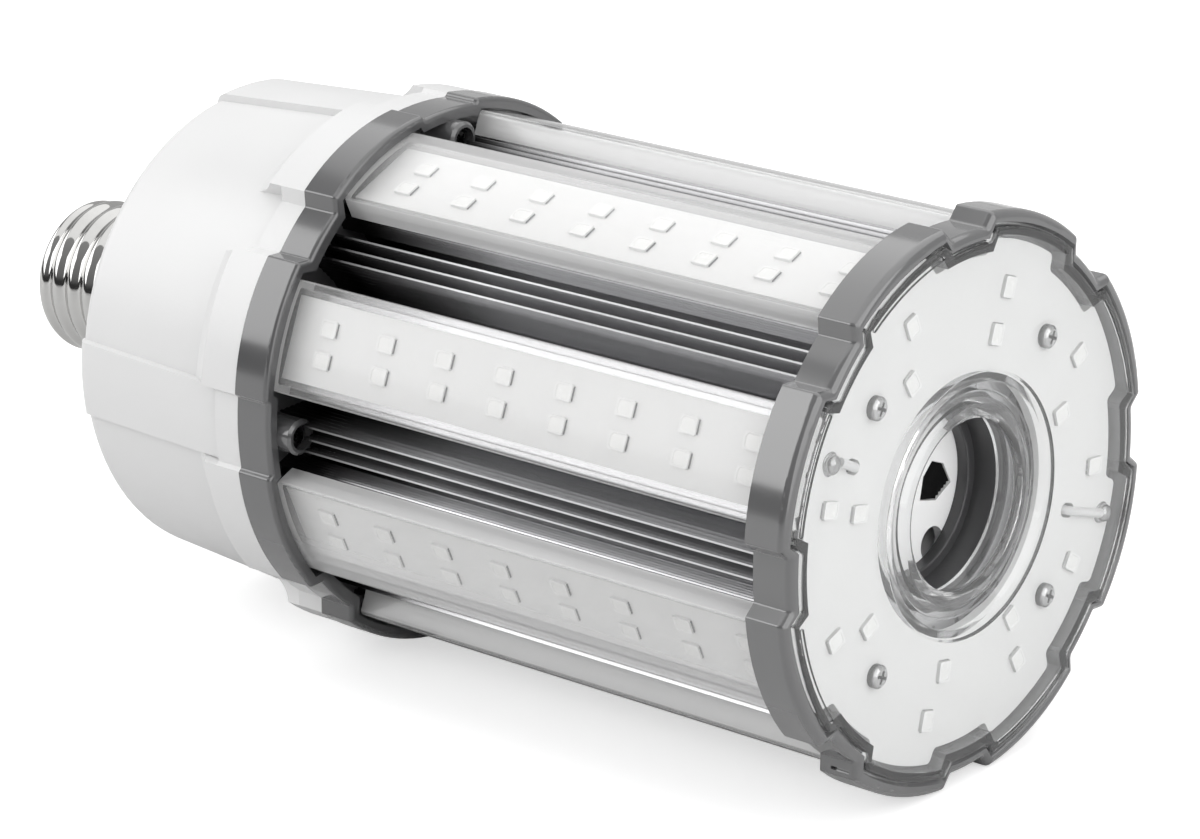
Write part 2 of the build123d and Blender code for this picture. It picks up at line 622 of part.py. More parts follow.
parts["shell_lead"] = [straight_lead([(-6.0, 3.2, -141.0), (-6.0, 2.6, -150.0), (-9.2, 0, -161.0), (-9.2, 0, -175.0)], [9.0, 12.0], 1.2)]

# lay the lamp on its side: lamp axis -> +X, straight up -> +Z
low = min(p.bounding_box().min.Y for n in ("front_ring", "rear_ring", "driver_housing") for p in parts[n])
x_lo = min(p.bounding_box().min.Z for v in parts.values() for p in v)
x_hi = max(p.bounding_box().max.Z for v in parts.values() for p in v)
lay = Plane(origin=(-(x_lo + x_hi) / 2, 0, -low), x_dir=(0, 1, 0), z_dir=(1, 0, 0)).location
print("axis height %.3f  offset %.3f  length %.2f" % (-low, -(x_lo + x_hi) / 2, x_hi - x_lo))

for name, solids in parts.items():
    moved = [lay * s for s in solids]
    if len(moved) == 1:
        shape = moved[0]
    else:
        shape = Compound(children=moved)
    shape.label = name
    export_step(shape, "parts/%s.step" % name)
print(len(parts), "nodes")
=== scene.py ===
import bpy
import bmesh
import math
import random
from mathutils import Matrix, Vector


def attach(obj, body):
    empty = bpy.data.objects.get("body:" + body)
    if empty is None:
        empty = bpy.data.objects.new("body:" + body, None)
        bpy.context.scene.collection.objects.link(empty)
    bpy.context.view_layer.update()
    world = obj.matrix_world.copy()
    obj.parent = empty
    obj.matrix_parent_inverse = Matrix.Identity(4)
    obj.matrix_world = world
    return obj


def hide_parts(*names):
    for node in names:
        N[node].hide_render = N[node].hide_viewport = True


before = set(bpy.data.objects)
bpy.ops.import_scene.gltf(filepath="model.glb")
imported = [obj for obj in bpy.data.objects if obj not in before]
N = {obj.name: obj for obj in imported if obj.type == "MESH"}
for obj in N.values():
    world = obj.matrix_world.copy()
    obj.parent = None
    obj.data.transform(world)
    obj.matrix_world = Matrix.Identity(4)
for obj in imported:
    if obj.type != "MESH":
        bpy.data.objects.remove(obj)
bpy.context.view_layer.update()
random.seed(7)

# lamp frame: radius r and angle a (clockwise from up, seen from the lit end) in mm
# and degrees, t along the axis in mm, 0 at the back of the front ring
AXIS_H = 0.043847
T0 = 0.0892


def P(r, a, t):
    a = math.radians(a)
    return Vector((t * 0.001 + T0, r * 0.001 * math.sin(a), r * 0.001 * math.cos(a) + AXIS_H))


# ---------------------------------------------------------------- materials --
def new_mat(name):
    m = bpy.data.materials.new(name)
    m.use_nodes = True
    nt = m.node_tree
    nt.nodes.clear()
    out = nt.nodes.new("ShaderNodeOutputMaterial")
    return m, nt, out


def principled(nt, color, metallic=0.0, rough=0.4, coat=0.0, coat_rough=0.1, spec=0.5, ior=1.5, trans=0.0, sss=0.0):
    b = nt.nodes.new("ShaderNodeBsdfPrincipled")
    b.inputs["Base Color"].default_value = (*color, 1)
    b.inputs["Metallic"].default_value = metallic
    b.inputs["Roughness"].default_value = rough
    b.inputs["Coat Weight"].default_value = coat
    b.inputs["Coat Roughness"].default_value = coat_rough
    b.inputs["Specular IOR Level"].default_value = spec
    b.inputs["IOR"].default_value = ior
    b.inputs["Transmission Weight"].default_value = trans
    b.inputs["Subsurface Weight"].default_value = sss
    if sss:
        b.inputs["Subsurface Radius"].default_value = (0.002, 0.002, 0.002)
    return b


def coords(nt, scale=(1, 1, 1), rot=(0, 0, 0), loc=(0, 0, 0)):
    tc = nt.nodes.new("ShaderNodeTexCoord")
    mp = nt.nodes.new("ShaderNodeMapping")
    mp.inputs["Scale"].default_value = scale
    mp.inputs["Rotation"].default_value = rot
    mp.inputs["Location"].default_value = loc
    nt.links.new(tc.outputs["Object"], mp.inputs["Vector"])
    return mp.outputs["Vector"]


def noise(nt, vec, scale=1.0, detail=2.0, rough=0.5):
    n = nt.nodes.new("ShaderNodeTexNoise")
    n.inputs["Scale"].default_value = scale
    n.inputs["Detail"].default_value = detail
    n.inputs["Roughness"].default_value = rough
    nt.links.new(vec, n.inputs["Vector"])
    return n.outputs["Fac"]


def ramp(nt, fac, stops, color=False):
    r = nt.nodes.new("ShaderNodeValToRGB")
    e = r.color_ramp.elements
    while len(e) < len(stops):
        e.new(0.5)
    for i, (p, c) in enumerate(stops):
        e[i].position = p
        e[i].color = (c, c, c, 1) if not color else (*c, 1)
    nt.links.new(fac, r.inputs["Fac"])
    return r.outputs["Color"]


def to_range(nt, fac, lo, hi, a=0.3, b=0.7):
    m = nt.nodes.new("ShaderNodeMapRange")
    m.inputs["From Min"].default_value = a
    m.inputs["From Max"].default_value = b
    m.inputs["To Min"].default_value = lo
    m.inputs["To Max"].default_value = hi
    nt.links.new(fac, m.inputs["Value"])
    return m.outputs["Result"]


def bump(nt, height, distance, strength=1.0, after=None):
    b = nt.nodes.new("ShaderNodeBump")
    b.inputs["Strength"].default_value = strength
    b.inputs["Distance"].default_value = distance
    nt.links.new(height, b.inputs["Height"])
    if after is not None:
        nt.links.new(after, b.inputs["Normal"])
    return b.outputs["Normal"]


def mix_rgb(nt, fac, a, b):
    m = nt.nodes.new("ShaderNodeMix")
    m.data_type = "RGBA"
    for (s, v) in ((m.inputs[6], a), (m.inputs[7], b)):
        if isinstance(v, tuple):
            s.default_value = (*v, 1)
        else:
            nt.links.new(v, s)
    if isinstance(fac, float):
        m.inputs[0].default_value = fac
    else:
        nt.links.new(fac, m.inputs[0])
    return m.outputs[2]


def plastic(name, color, rough, grain=0.00002, coat=0.0, mottle=0.03, scale=60.0, sss=0.0, spec=0.5):
    m, nt, out = new_mat(name)
    b = principled(nt, color, rough=rough, coat=coat, sss=sss, spec=spec)
    wide = noise(nt, coords(nt), scale=scale, detail=3)
    dark = tuple(c * (1 - mottle) for c in color)
    nt.links.new(mix_rgb(nt, wide, dark, tuple(min(1.0, c * (1 + mottle)) for c in color)), b.inputs["Base Color"])
    fine = noise(nt, coords(nt), scale=2600.0, detail=2)
    nt.links.new(to_range(nt, wide, rough * 0.85, rough * 1.15), b.inputs["Roughness"])
    nt.links.new(bump(nt, fine, grain), b.inputs["Normal"])
    nt.links.new(b.outputs[0], out.inputs["Surface"])
    return m


def drawn_metal(name, color, rough, line_bump=0.000015, streak=0.10):
    """Drawn metal with fine lines that run along the lamp."""
    m, nt, out = new_mat(name)
    b = principled(nt, color, metallic=0.78, rough=rough)
    lines = noise(nt, coords(nt, (1, 640, 640)), scale=1.0, detail=0, rough=0.5)
    wide = noise(nt, coords(nt, (2, 300, 300)), scale=1.0, detail=1)
    lo = tuple(c * (1 - streak) for c in color)
    face = mix_rgb(nt, wide, lo, color)
    # painted shade: the metal is painted darker deep between the arms, most of all towards the driver end, where the
    # shade falls
    tc = nt.nodes.new("ShaderNodeTexCoord")
    sx = nt.nodes.new("ShaderNodeSeparateXYZ")
    nt.links.new(tc.outputs["Object"], sx.inputs[0])
    yy = nt.nodes.new("ShaderNodeMath")
    yy.operation = "MULTIPLY"
    nt.links.new(sx.outputs["Y"], yy.inputs[0])
    nt.links.new(sx.outputs["Y"], yy.inputs[1])
    zc = nt.nodes.new("ShaderNodeMath")
    zc.operation = "SUBTRACT"
    zc.inputs[1].default_value = AXIS_H
    nt.links.new(sx.outputs["Z"], zc.inputs[0])
    zz = nt.nodes.new("ShaderNodeMath")
    zz.operation = "MULTIPLY"
    nt.links.new(zc.outputs[0], zz.inputs[0])
    nt.links.new(zc.outputs[0], zz.inputs[1])
    rr = nt.nodes.new("ShaderNodeMath")
    rr.operation = "ADD"
    nt.links.new(yy.outputs[0], rr.inputs[0])
    nt.links.new(zz.outputs[0], rr.inputs[1])
    deep = to_range(nt, rr.outputs[0], 1.0, 0.0, 0.03905 ** 2, 0.0399 ** 2)
    rear = to_range(nt, sx.outputs["X"], 0.98, 0.0, -0.003, 0.024)
    deep_shade = nt.nodes.new("ShaderNodeMath")
    deep_shade.operation = "MULTIPLY"
    nt.links.new(deep, deep_shade.inputs[0])
    nt.links.new(rear, deep_shade.inputs[1])
    nt.links.new(mix_rgb(nt, deep_shade.outputs[0], face, tuple(c * 0.03 for c in color)), b.inputs["Base Color"])
    nt.links.new(to_range(nt, lines, rough * 0.9, rough * 1.12), b.inputs["Roughness"])
    nt.links.new(bump(nt, lines, line_bump), b.inputs["Normal"])
    nt.links.new(b.outputs[0], out.inputs["Surface"])
    return m


def bright_metal(name, color, rough, grain=0.000006):
    m, nt, out = new_mat(name)
    b = principled(nt, color, metallic=1.0, rough=rough)
    n = noise(nt, coords(nt), scale=900.0, detail=3)
    nt.links.new(to_range(nt, n, rough * 0.7, rough * 1.5), b.inputs["Roughness"])
    nt.links.new(bump(nt, n, grain), b.inputs["Normal"])
    nt.links.new(mix_rgb(nt, n, tuple(c * 0.93 for c in color), color), b.inputs["Base Color"])
    nt.links.new(b.outputs[0], out.inputs["Surface"])
    return m


def screw_metal(name, color, rough):
    """Bright screw head, with painted shade in its recess and down its flank."""
    m, nt, out = new_mat(name)
    b = principled(nt, color, metallic=1.0, rough=rough)
    n = noise(nt, coords(nt), scale=900.0, detail=2)
    nt.links.new(to_range(nt, n, rough * 0.8, rough * 1.3), b.inputs["Roughness"])
    nt.links.new(bump(nt, n, 0.000004), b.inputs["Normal"])
    tc = nt.nodes.new("ShaderNodeTexCoord")
    sx = nt.nodes.new("ShaderNodeSeparateXYZ")
    nt.links.new(tc.outputs["Object"], sx.inputs[0])
    # painted shade: below the top of the head the colour drops to 0.08 of the steel
    high = to_range(nt, sx.outputs["X"], 0.0, 1.0, 0.09458, 0.09520)
    nt.links.new(mix_rgb(nt, high, tuple(c * 0.08 for c in color), color), b.inputs["Base Color"])
    nt.links.new(b.outputs[0], out.inputs["Surface"])
    return m


def clear(name, tint=(0.97, 0.975, 0.975), rough=0.03, ior=1.46, ripple=0.00001, ripple_scale=180.0, trans=1.0):
    """Clear moulded plastic. Lamps shine through it."""
    m, nt, out = new_mat(name)
    b = principled(nt, tint, rough=rough, ior=ior, trans=trans)
    n = noise(nt, coords(nt), scale=ripple_scale, detail=2)
    nt.links.new(bump(nt, n, ripple), b.inputs["Normal"])
    nt.links.new(to_range(nt, n, rough * 0.6, rough * 1.6), b.inputs["Roughness"])
    t = nt.nodes.new("ShaderNodeBsdfTransparent")
    t.inputs["Color"].default_value = (0.96, 0.96, 0.96, 1)
    lp = nt.nodes.new("ShaderNodeLightPath")
    mx = nt.nodes.new("ShaderNodeMixShader")
    nt.links.new(lp.outputs["Is Shadow Ray"], mx.inputs[0])
    nt.links.new(b.outputs[0], mx.inputs[1])
    nt.links.new(t.outputs[0], mx.inputs[2])
    nt.links.new(mx.outputs[0], out.inputs["Surface"])
    return m


def frosted(name, haze=0.42, rough=0.16):
    """Frosted cover: a milky share over a clear one, more milky at a glance."""
    m, nt, out = new_mat(name)
    b = principled(nt, (0.90, 0.90, 0.90), rough=rough, coat=0.6, coat_rough=0.06)
    n = noise(nt, coords(nt, (10, 260, 260)), scale=1.0, detail=1)
    g = noise(nt, coords(nt), scale=300.0, detail=0)
    nt.links.new(to_range(nt, n, rough * 0.92, rough * 1.1), b.inputs["Roughness"])
    nt.links.new(bump(nt, g, 0.0000004), b.inputs["Normal"])
    t = nt.nodes.new("ShaderNodeBsdfTransparent")
    t.inputs["Color"].default_value = (0.97, 0.97, 0.97, 1)
    lw = nt.nodes.new("ShaderNodeLayerWeight")
    lw.inputs["Blend"].default_value = 0.35
    f = to_range(nt, lw.outputs["Facing"], haze, 0.90, 0.30, 0.85)
    grazing = to_range(nt, lw.outputs["Facing"], 0.0, 1.0, 0.48, 0.66)
    # the side walls of the cover are denser and whiter than its face
    geo = nt.nodes.new("ShaderNodeNewGeometry")
    off = nt.nodes.new("ShaderNodeVectorMath")
    off.operation = "SUBTRACT"
    off.inputs[1].default_value = (0, 0, AXIS_H)
    nt.links.new(geo.outputs["Position"], off.inputs[0])
    flat = nt.nodes.new("ShaderNodeVectorMath")
    flat.operation = "MULTIPLY"
    flat.inputs[1].default_value = (0, 1, 1)
    nt.links.new(off.outputs[0], flat.inputs[0])
    unit = nt.nodes.new("ShaderNodeVectorMath")
    unit.operation = "NORMALIZE"
    nt.links.new(flat.outputs[0], unit.inputs[0])
    dot = nt.nodes.new("ShaderNodeVectorMath")
    dot.operation = "DOT_PRODUCT"
    nt.links.new(unit.outputs[0], dot.inputs[0])
    nt.links.new(geo.outputs["Normal"], dot.inputs[1])
    size = nt.nodes.new("ShaderNodeMath")
    size.operation = "ABSOLUTE"
    nt.links.new(dot.outputs["Value"], size.inputs[0])
    side = to_range(nt, size.outputs[0], 1.0, 0.0, 0.45, 0.80)
    # painted shade: where the face is seen at a glance its milky share is painted darker, down to 0.30
    nt.links.new(mix_rgb(nt, side, mix_rgb(nt, grazing, (0.90, 0.90, 0.90), (0.30, 0.30, 0.30)), (0.86, 0.86, 0.86)), b.inputs["Base Color"])
    dense = nt.nodes.new("ShaderNodeMath")
    dense.operation = "MULTIPLY"
    dense.inputs[1].default_value = 0.62
    nt.links.new(side, dense.inputs[0])
    share = nt.nodes.new("ShaderNodeMath")
    share.operation = "MAXIMUM"
    nt.links.new(f, share.inputs[0])
    nt.links.new(dense.outputs[0], share.inputs[1])
    mx = nt.nodes.new("ShaderNodeMixShader")
    nt.links.new(share.outputs[0], mx.inputs[0])
    nt.links.new(t.outputs[0], mx.inputs[1])
    nt.links.new(b.outputs[0], mx.inputs[2])
    nt.links.new(mx.outputs[0], out.inputs["Surface"])
    return m


def solder_mask(name, angle=None):
    """White board: satin, with faint raised copper fields under the white."""
    m, nt, out = new_mat(name)
    b = principled(nt, (0.88, 0.88, 0.875), rough=0.38, coat=0.25, coat_rough=0.2)
    wide = noise(nt, coords(nt), scale=90.0, detail=2)
    nt.links.new(mix_rgb(nt, wide, (0.86, 0.86, 0.855), (0.90, 0.90, 0.895)), b.inputs["Base Color"])
    fine = noise(nt, coords(nt), scale=3000.0, detail=2)
    nt.links.new(bump(nt, fine, 0.000008), b.inputs["Normal"])
    nt.links.new(to_range(nt, wide, 0.32, 0.46), b.inputs["Roughness"])
    nt.links.new(b.outputs[0], out.inputs["Surface"])
    return m


M_ALU = drawn_metal("aluminium", (0.64, 0.64, 0.65), 0.22, line_bump=0.0000005, streak=0.06)
M_RING = plastic("ring_grey", (0.102, 0.102, 0.104), 0.15, grain=0.000004, coat=1.0, mottle=0.03, spec=0.8)
# painted shade: the rear ring is a darker copy of the front ring's grey plastic, standing for the shade it lies in
M_RING_REAR_SHADED = plastic("ring_grey_rear_painted_shade", (0.083, 0.083, 0.085), 0.17, grain=0.000004, coat=0.8, mottle=0.03, spec=0.7)
M_HOUSE = plastic("housing_white", (0.69, 0.69, 0.69), 0.36, grain=0.000012, mottle=0.012)
M_SHELL = bright_metal("shell_nickel", (0.52, 0.517, 0.508), 0.06)
M_BLACK = plastic("insulator", (0.02, 0.02, 0.02), 0.3)
M_TIP = bright_metal("contact", (0.75, 0.73, 0.68), 0.2)
M_COVER = frosted("cover_frosted", haze=0.14)
M_CLEAR = clear("end_clear", tint=(0.93, 0.934, 0.934), trans=0.95, ripple=0.000002, ripple_scale=120.0)
M_BOARD = solder_mask("board_white")
M_CHIP = plastic("chip_body", (0.96, 0.96, 0.955), 0.35, mottle=0.01)
M_PHOS = plastic("chip_phosphor", (0.97, 0.97, 0.955), 0.25, mottle=0.02, scale=900.0)
# painted shade: the pads of the side packages are painted near black for the dark tick at their shadowed end; the pads
# of the end packages are a lighter copy
M_PAD_SHADE = bright_metal("chip_pad_painted_shade", (0.10, 0.10, 0.10), 0.35)
M_PAD_END = bright_metal("chip_pad_end", (0.42, 0.42, 0.42), 0.35)
# painted shade: the side walls of the LED packages are painted grey, darker on the end packages than on the side ones,
# standing for the shade at their edges
M_CHIP_SIDE_SHADE = plastic("chip_side_painted_shade", (0.62, 0.62, 0.615), 0.4, mottle=0.02)
M_CHIP_SIDE_SHADE_SOFT = plastic("chip_side_soft_painted_shade", (0.80, 0.80, 0.795), 0.4, mottle=0.02)
M_STEEL = screw_metal("screw_steel", (0.62, 0.62, 0.62), 0.14)
# painted shade: the housing screws are painted near black for their heads deep in the posts
M_STEEL_SHADE = bright_metal("screw_steel_painted_shade", (0.06, 0.06, 0.06), 0.3)
M_SOLDER = bright_metal("solder", (0.46, 0.46, 0.46), 0.07, 0.00002)
M_LEAD = plastic("lead_white", (0.80, 0.80, 0.80), 0.35, mottle=0.02)
M_SLEEVE = plastic("sleeve_dark", (0.06, 0.06, 0.062), 0.32, mottle=0.05)
M_CASE = plastic("case_white", (0.94, 0.94, 0.94), 0.45, mottle=0.01)
# painted shade: the vent plate is near black and matte for the dark inside of the vent
M_VENT = plastic("vent_black", (0.004, 0.004, 0.004), 0.7, grain=0.00005, spec=0.1)
M_PCB = plastic("circuit_board", (0.02, 0.12, 0.04), 0.35, mottle=0.08)
M_FERRITE = plastic("ferrite", (0.03, 0.03, 0.032), 0.55)
M_TAPE = plastic("tape", (0.75, 0.52, 0.04), 0.3)
M_CAP = plastic("capacitor", (0.02, 0.02, 0.03), 0.3)
M_WIRE = plastic("enamel", (0.35, 0.10, 0.03), 0.25, mottle=0.2, scale=900.0)

look = {
    "heat_sink": M_ALU, "front_ring": M_RING, "rear_ring": M_RING_REAR_SHADED, "driver_housing": M_HOUSE, "screw_shell": M_SHELL,
    "base_insulator": M_BLACK, "centre_contact": M_TIP, "side_led_chips": M_CHIP, "end_board": M_BOARD, "end_led_chips": M_CHIP,
    "end_screws": M_STEEL, "end_cover": M_CLEAR, "solder_joints": M_SOLDER, "lead_live": M_LEAD, "lead_return": M_LEAD,
    "core_sleeve": M_SLEEVE, "driver_case": M_CASE, "driver_board": M_PCB, "transformer_core": M_FERRITE, "transformer_winding": M_TAPE,
    "input_capacitor": M_CAP, "output_capacitor": M_CAP, "filter_choke": M_WIRE, "rectifier": M_BLACK, "housing_screws": M_STEEL_SHADE,
    "centre_lead": M_LEAD, "shell_lead": M_LEAD,
}
for k in range(1, 9):
    look["side_cover_%d" % k] = M_COVER
    look["led_board_%d" % k] = M_BOARD
for name, obj in N.items():
    m = look[name]
    if obj.data.materials:
        for i in range(len(obj.data.materials)):
            obj.data.materials[i] = m
        for s in obj.material_slots:
            s.material = m
    else:
        obj.data.materials.append(m)


# ------------------------------------------------------------------- helpers --
def mesh_obj(name, verts, faces, mats, face_mat=None, smooth=True):
    me = bpy.data.meshes.new(name)
    me.from_pydata([tuple(v) for v in verts], [], faces)
    for m in mats:
        me.materials.append(m)
    if face_mat:
        me.polygons.foreach_set("material_index", face_mat)
    me.polygons.foreach_set("use_smooth", [smooth] * len(me.polygons))
    me.validate()
    me.update()
    o = bpy.data.objects.new(name, me)
    bpy.context.scene.collection.objects.link(o)
    return o


def fix_normals(o):
    bm = bmesh.new()
    bm.from_mesh(o.data)
    bmesh.ops.recalc_face_normals(bm, faces=bm.faces)
    bm.to_mesh(o.data)
    bm.free()


def sharp_by_angle(o, deg=35.0):
    bm = bmesh.new()
    bm.from_mesh(o.data)
    lim = math.radians(deg)
    for e in bm.edges:
        e.smooth = not (len(e.link_faces) == 2 and e.calc_face_angle(0.0) > lim)
    bm.to_mesh(o.data)
    bm.free()


# ------------------------------------------------------------ screw base -----
def thread_shell():
    """Rolled right-hand thread, 3.629 mm pitch, fading out at both ends."""
    pitch, crest, root = 3.629, 13.15, 12.45
    t_front, t_back = -159.05, -181.4
    prof_t = []
    t = t_front
    while t > t_back + 1.3:
        prof_t.append(t)
        t -= 0.16
    cols = 144
    verts, faces = [], []
    rows = 0

    def amp_at(t):
        a = min(1.0, max(0.0, (t_front - 1.2 - t) / 1.6))
        b = min(1.0, max(0.0, (t - (t_back + 1.0)) / 1.6))
        return a * b

    def radius(t, ang):
        ph = 2 * math.pi * (t + 180.6) / pitch + ang
        s = 0.5 + 0.5 * math.cos(ph)
        s = s ** 0.92
        k = amp_at(t)
        base = 12.62
        return base * (1 - k) + k * (root + (crest - 0.02 - root) * s)

    for t in prof_t:
        for c in range(cols):
            ang = 2 * math.pi * c / cols
            verts.append(P(radius(t, ang), math.degrees(ang), t))
        rows += 1
    for (r, t) in ((12.45, t_back + 1.0), (11.9, t_back + 0.35), (11.3, t_back + 0.08), (10.6, t_back), (10.6, t_back + 0.35), (11.4, t_back + 0.75), (12.0, t_back + 1.4)):
        for c in range(cols):
            verts.append(P(r, 360.0 * c / cols, t))
        rows += 1
    # inner wall back to the front edge
    inner = [x for x in reversed(prof_t[:-1])][::2]
    if inner[-1] < t_front:
        inner.append(t_front)
    for t in inner:
        for c in range(cols):
            ang = 2 * math.pi * c / cols
            verts.append(P(radius(t, ang) - 0.33, math.degrees(ang), t))
        rows += 1
    for i in range(rows):
        j = (i + 1) % rows
        for c in range(cols):
            d = (c + 1) % cols
            faces.append((i * cols + c, i * cols + d, j * cols + d, j * cols + c))
    o = mesh_obj("screw_shell_thread", verts, faces, [M_SHELL])
    fix_normals(o)
    return o


shell = thread_shell()
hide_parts("screw_shell")
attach(shell, "root")


# ------------------------------------------------------------ LED packages ---
def package(bm, place, w, l, h, mats=(0, 1, 2, 3)):
    """One LED package: bevelled body, sunk light window, solder pads at both ends of its length.
    place maps (across, along, up) in mm to a world point."""
    def ring(hw, hl, z, cut=0.22):
        c = cut
        pts = [(-hw + c, -hl), (hw - c, -hl), (hw, -hl + c), (hw, hl - c), (hw - c, hl), (-hw + c, hl), (-hw, hl - c), (-hw, -hl + c)]
        return [bm.verts.new(place(x, y, z)) for (x, y) in pts]
    loops = [ring(w / 2 - 0.03, l / 2 - 0.12, 0.0), ring(w / 2 - 0.02, l / 2 - 0.10, h * 0.55), ring(w / 2 - 0.06, l / 2 - 0.14, h),
             ring(w / 2 - 0.30, l / 2 - 0.42, h, 0.35), ring(w / 2 - 0.38, l / 2 - 0.50, h - 0.07, 0.35)]
    # the outer side walls take mats[3], which carries painted shade
    for i in range(4):
        for k in range(8):
            f = bm.faces.new((loops[i][k], loops[i][(k + 1) % 8], loops[i + 1][(k + 1) % 8], loops[i + 1][k]))
            f.material_index = mats[3] if i < 2 else mats[0]
    f = bm.faces.new(loops[4])
    f.material_index = mats[1]
    f = bm.faces.new(list(reversed(loops[0])))
    f.material_index = mats[0]
    for s in (-1, 1):
        y0, y1 = s * (l / 2 - 0.16), s * (l / 2)
        hw = w / 2 - 0.28
        v = [bm.verts.new(place(x, y, z)) for (x, y, z) in ((-hw, y0, 0), (hw, y0, 0), (hw, y1, 0), (-hw, y1, 0),
                                                            (-hw, y0, h * 0.62), (hw, y0, h * 0.62), (hw, y1, h * 0.42), (-hw, y1, h * 0.42))]
        for q in ((0, 3, 2, 1), (4, 5, 6, 7), (0, 1, 5, 4), (1, 2, 6, 5), (2, 3, 7, 6), (3, 0, 4, 7)):
            f = bm.faces.new([v[i] for i in q])
            f.material_index = mats[2]


def finish_bm(bm, name, mats):
    bmesh.ops.recalc_face_normals(bm, faces=bm.faces)
    me = bpy.data.meshes.new(name)
    bm.to_mesh(me)
    bm.free()
    for m in mats:
        me.materials.append(m)
    o = bpy.data.objects.new(name, me)
    bpy.context.scene.collection.objects.link(o)
    return o


bm = bmesh.new()
SEAT = 38.6 + 0.8
for k in range(8):
    a = math.radians(22.5 + 45.0 * k)
    er = Vector((0, math.sin(a), math.cos(a)))
    eu = Vector((0, math.cos(a), -math.sin(a)))
    for s in (-1, 1):
        for i in range(8):
            t = -4.9 - 12.0 * i

            def place(x, y, z, s=s, t=t, er=er, eu=eu):
                return Vector((T0 + (t + y) * 0.001, 0, AXIS_H)) + eu * ((2.5 * s + x) * 0.001) + er * ((SEAT + z) * 0.001)

            package(bm, place, 2.8, 3.5, 0.5)
side_chips = finish_bm(bm, "side_led_packages", [M_CHIP, M_PHOS, M_PAD_SHADE, M_CHIP_SIDE_SHADE_SOFT])
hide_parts("side_led_chips")
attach(side_chips, "root")

END_CHIPS = [(32.8, 19.8), (25.6, 18.6), (33.0, 338.4), (25.2, 331.1), (33.0, 62.0), (25.8, 73.5), (33.6, 95.9), (32.9, 122.2),
             (32.4, 154.3), (25.2, 150.5), (33.0, 195.0), (25.6, 189.9), (32.6, 248.0), (25.6, 240.6), (32.4, 284.6), (25.2, 283.0)]
bm = bmesh.new()
for (r, ang) in END_CHIPS:
    a = math.radians(ang)
    er = Vector((0, math.sin(a), math.cos(a)))
    eu = Vector((0, math.cos(a), -math.sin(a)))

    def place(x, y, z, r=r, er=er, eu=eu):
        return Vector((T0 + (4.7 + z) * 0.001, 0, AXIS_H)) + eu * (x * 0.001) + er * ((r + y) * 0.001)

    package(bm, place, 2.8, 3.5, 0.6)
end_chips = finish_bm(bm, "end_led_packages", [M_CHIP, M_PHOS, M_PAD_END, M_CHIP_SIDE_SHADE])
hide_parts("end_led_chips")
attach(end_chips, "root")


# ------------------------------------------------------------------ vent -----
VENT = [(6.6, 2.6), (9.4, 1.4), (11.2, -2.1), (7.5, -4.0), (3.6, -2.9), (4.4, 0.6)]


def lamp_xy(x, y, t):
    return Vector((T0 + t * 0.001, x * 0.001, AXIS_H + y * 0.001))


def vent_grille_and_shade():
    """Near-black grille plate sunk in the vent of the driver case, painted shade for the dark inside of the vent; its
    lower right edge is stepped by its rows of cells.
    """
    pts = [(6.6, 2.5), (9.3, 1.3), (11.05, -1.9)]
    x, y = 11.05, -1.9
    steps = 5
    for i in range(steps):
        pts.append((x - 0.66, y + 0.10))
        x, y = x - 3.4 / steps, y - 1.9 / steps
        pts.append((x - 0.06, y + 0.02))
    pts += [(3.75, -2.85), (4.5, 0.55)]
    n = len(pts)
    cx, cy = sum(p[0] for p in pts) / n, sum(p[1] for p in pts) / n
    verts, faces = [], []
    for (k, t) in ((1.0, -5.85), (1.0, -5.3), (0.96, -5.2)):
        for (px, py) in pts:
            verts.append(lamp_xy(cx + (px - cx) * k, cy + (py - cy) * k, t))
    for r in range(2):
        for i in range(n):
            j = (i + 1) % n
            faces.append((r * n + i, r * n + j, (r + 1) * n + j, (r + 1) * n + i))
    faces.append(tuple(range(2 * n, 3 * n)))
    faces.append(tuple(reversed(range(n))))
    o = mesh_obj("vent_grille_and_shade", verts, faces, [M_VENT], smooth=False)
    fix_normals(o)
    return o


grille = vent_grille_and_shade()
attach(grille, "root")


def solder_blob(name, r, ang, seed):
    """A shiny, slightly uneven solder dome with a foot that flows out on the board."""
    rnd = random.Random(seed)
    cx = P(r, ang, 4.7)
    a = math.radians(ang)
    er = Vector((0, math.sin(a), math.cos(a)))
    eu = Vector((0, math.cos(a), -math.sin(a)))
    ph = [rnd.uniform(0, 6.28) for _ in range(4)]
    prof = [(1.86, 0.0), (1.66, 0.08), (1.54, 0.20), (1.55, 0.42), (1.50, 0.68), (1.36, 0.96), (1.10, 1.22), (0.74, 1.41), (0.36, 1.50), (0.12, 1.52)]
    cols = 40
    verts, faces = [], []
    for (q, z) in prof:
        for c in range(cols):
            th = 2 * math.pi * c / cols
            k = 1 + 0.05 * math.sin(2 * th + ph[0]) + 0.03 * math.sin(3 * th + ph[1])
            verts.append(cx + (eu * math.cos(th) + er * math.sin(th)) * (q * k * 0.001 * 0.95) + Vector((z * 0.001, 0, 0)))
    verts.append(cx + Vector((0.00153, 0, 0)))
    top = len(verts) - 1
    verts.append(cx)
    bottom = len(verts) - 1
    for i in range(len(prof) - 1):
        for c in range(cols):
            d = (c + 1) % cols
            faces.append((i * cols + c, i * cols + d, (i + 1) * cols + d, (i + 1) * cols + c))
    for c in range(cols):
        d = (c + 1) % cols
        faces.append(((len(prof) - 1) * cols + c, (len(prof) - 1) * cols + d, top))
        faces.append((d, c, bottom))
    o = mesh_obj(name, verts, faces, [M_SOLDER])
    fix_normals(o)
    return o


blobs = [solder_blob("solder_blob_1", 33.5 + 0.95, 295.9, 3), solder_blob("solder_blob_2", 36.8 + 1.0, 108.3, 5)]
for b_ in blobs:
    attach(b_, "root")
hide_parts("solder_joints")


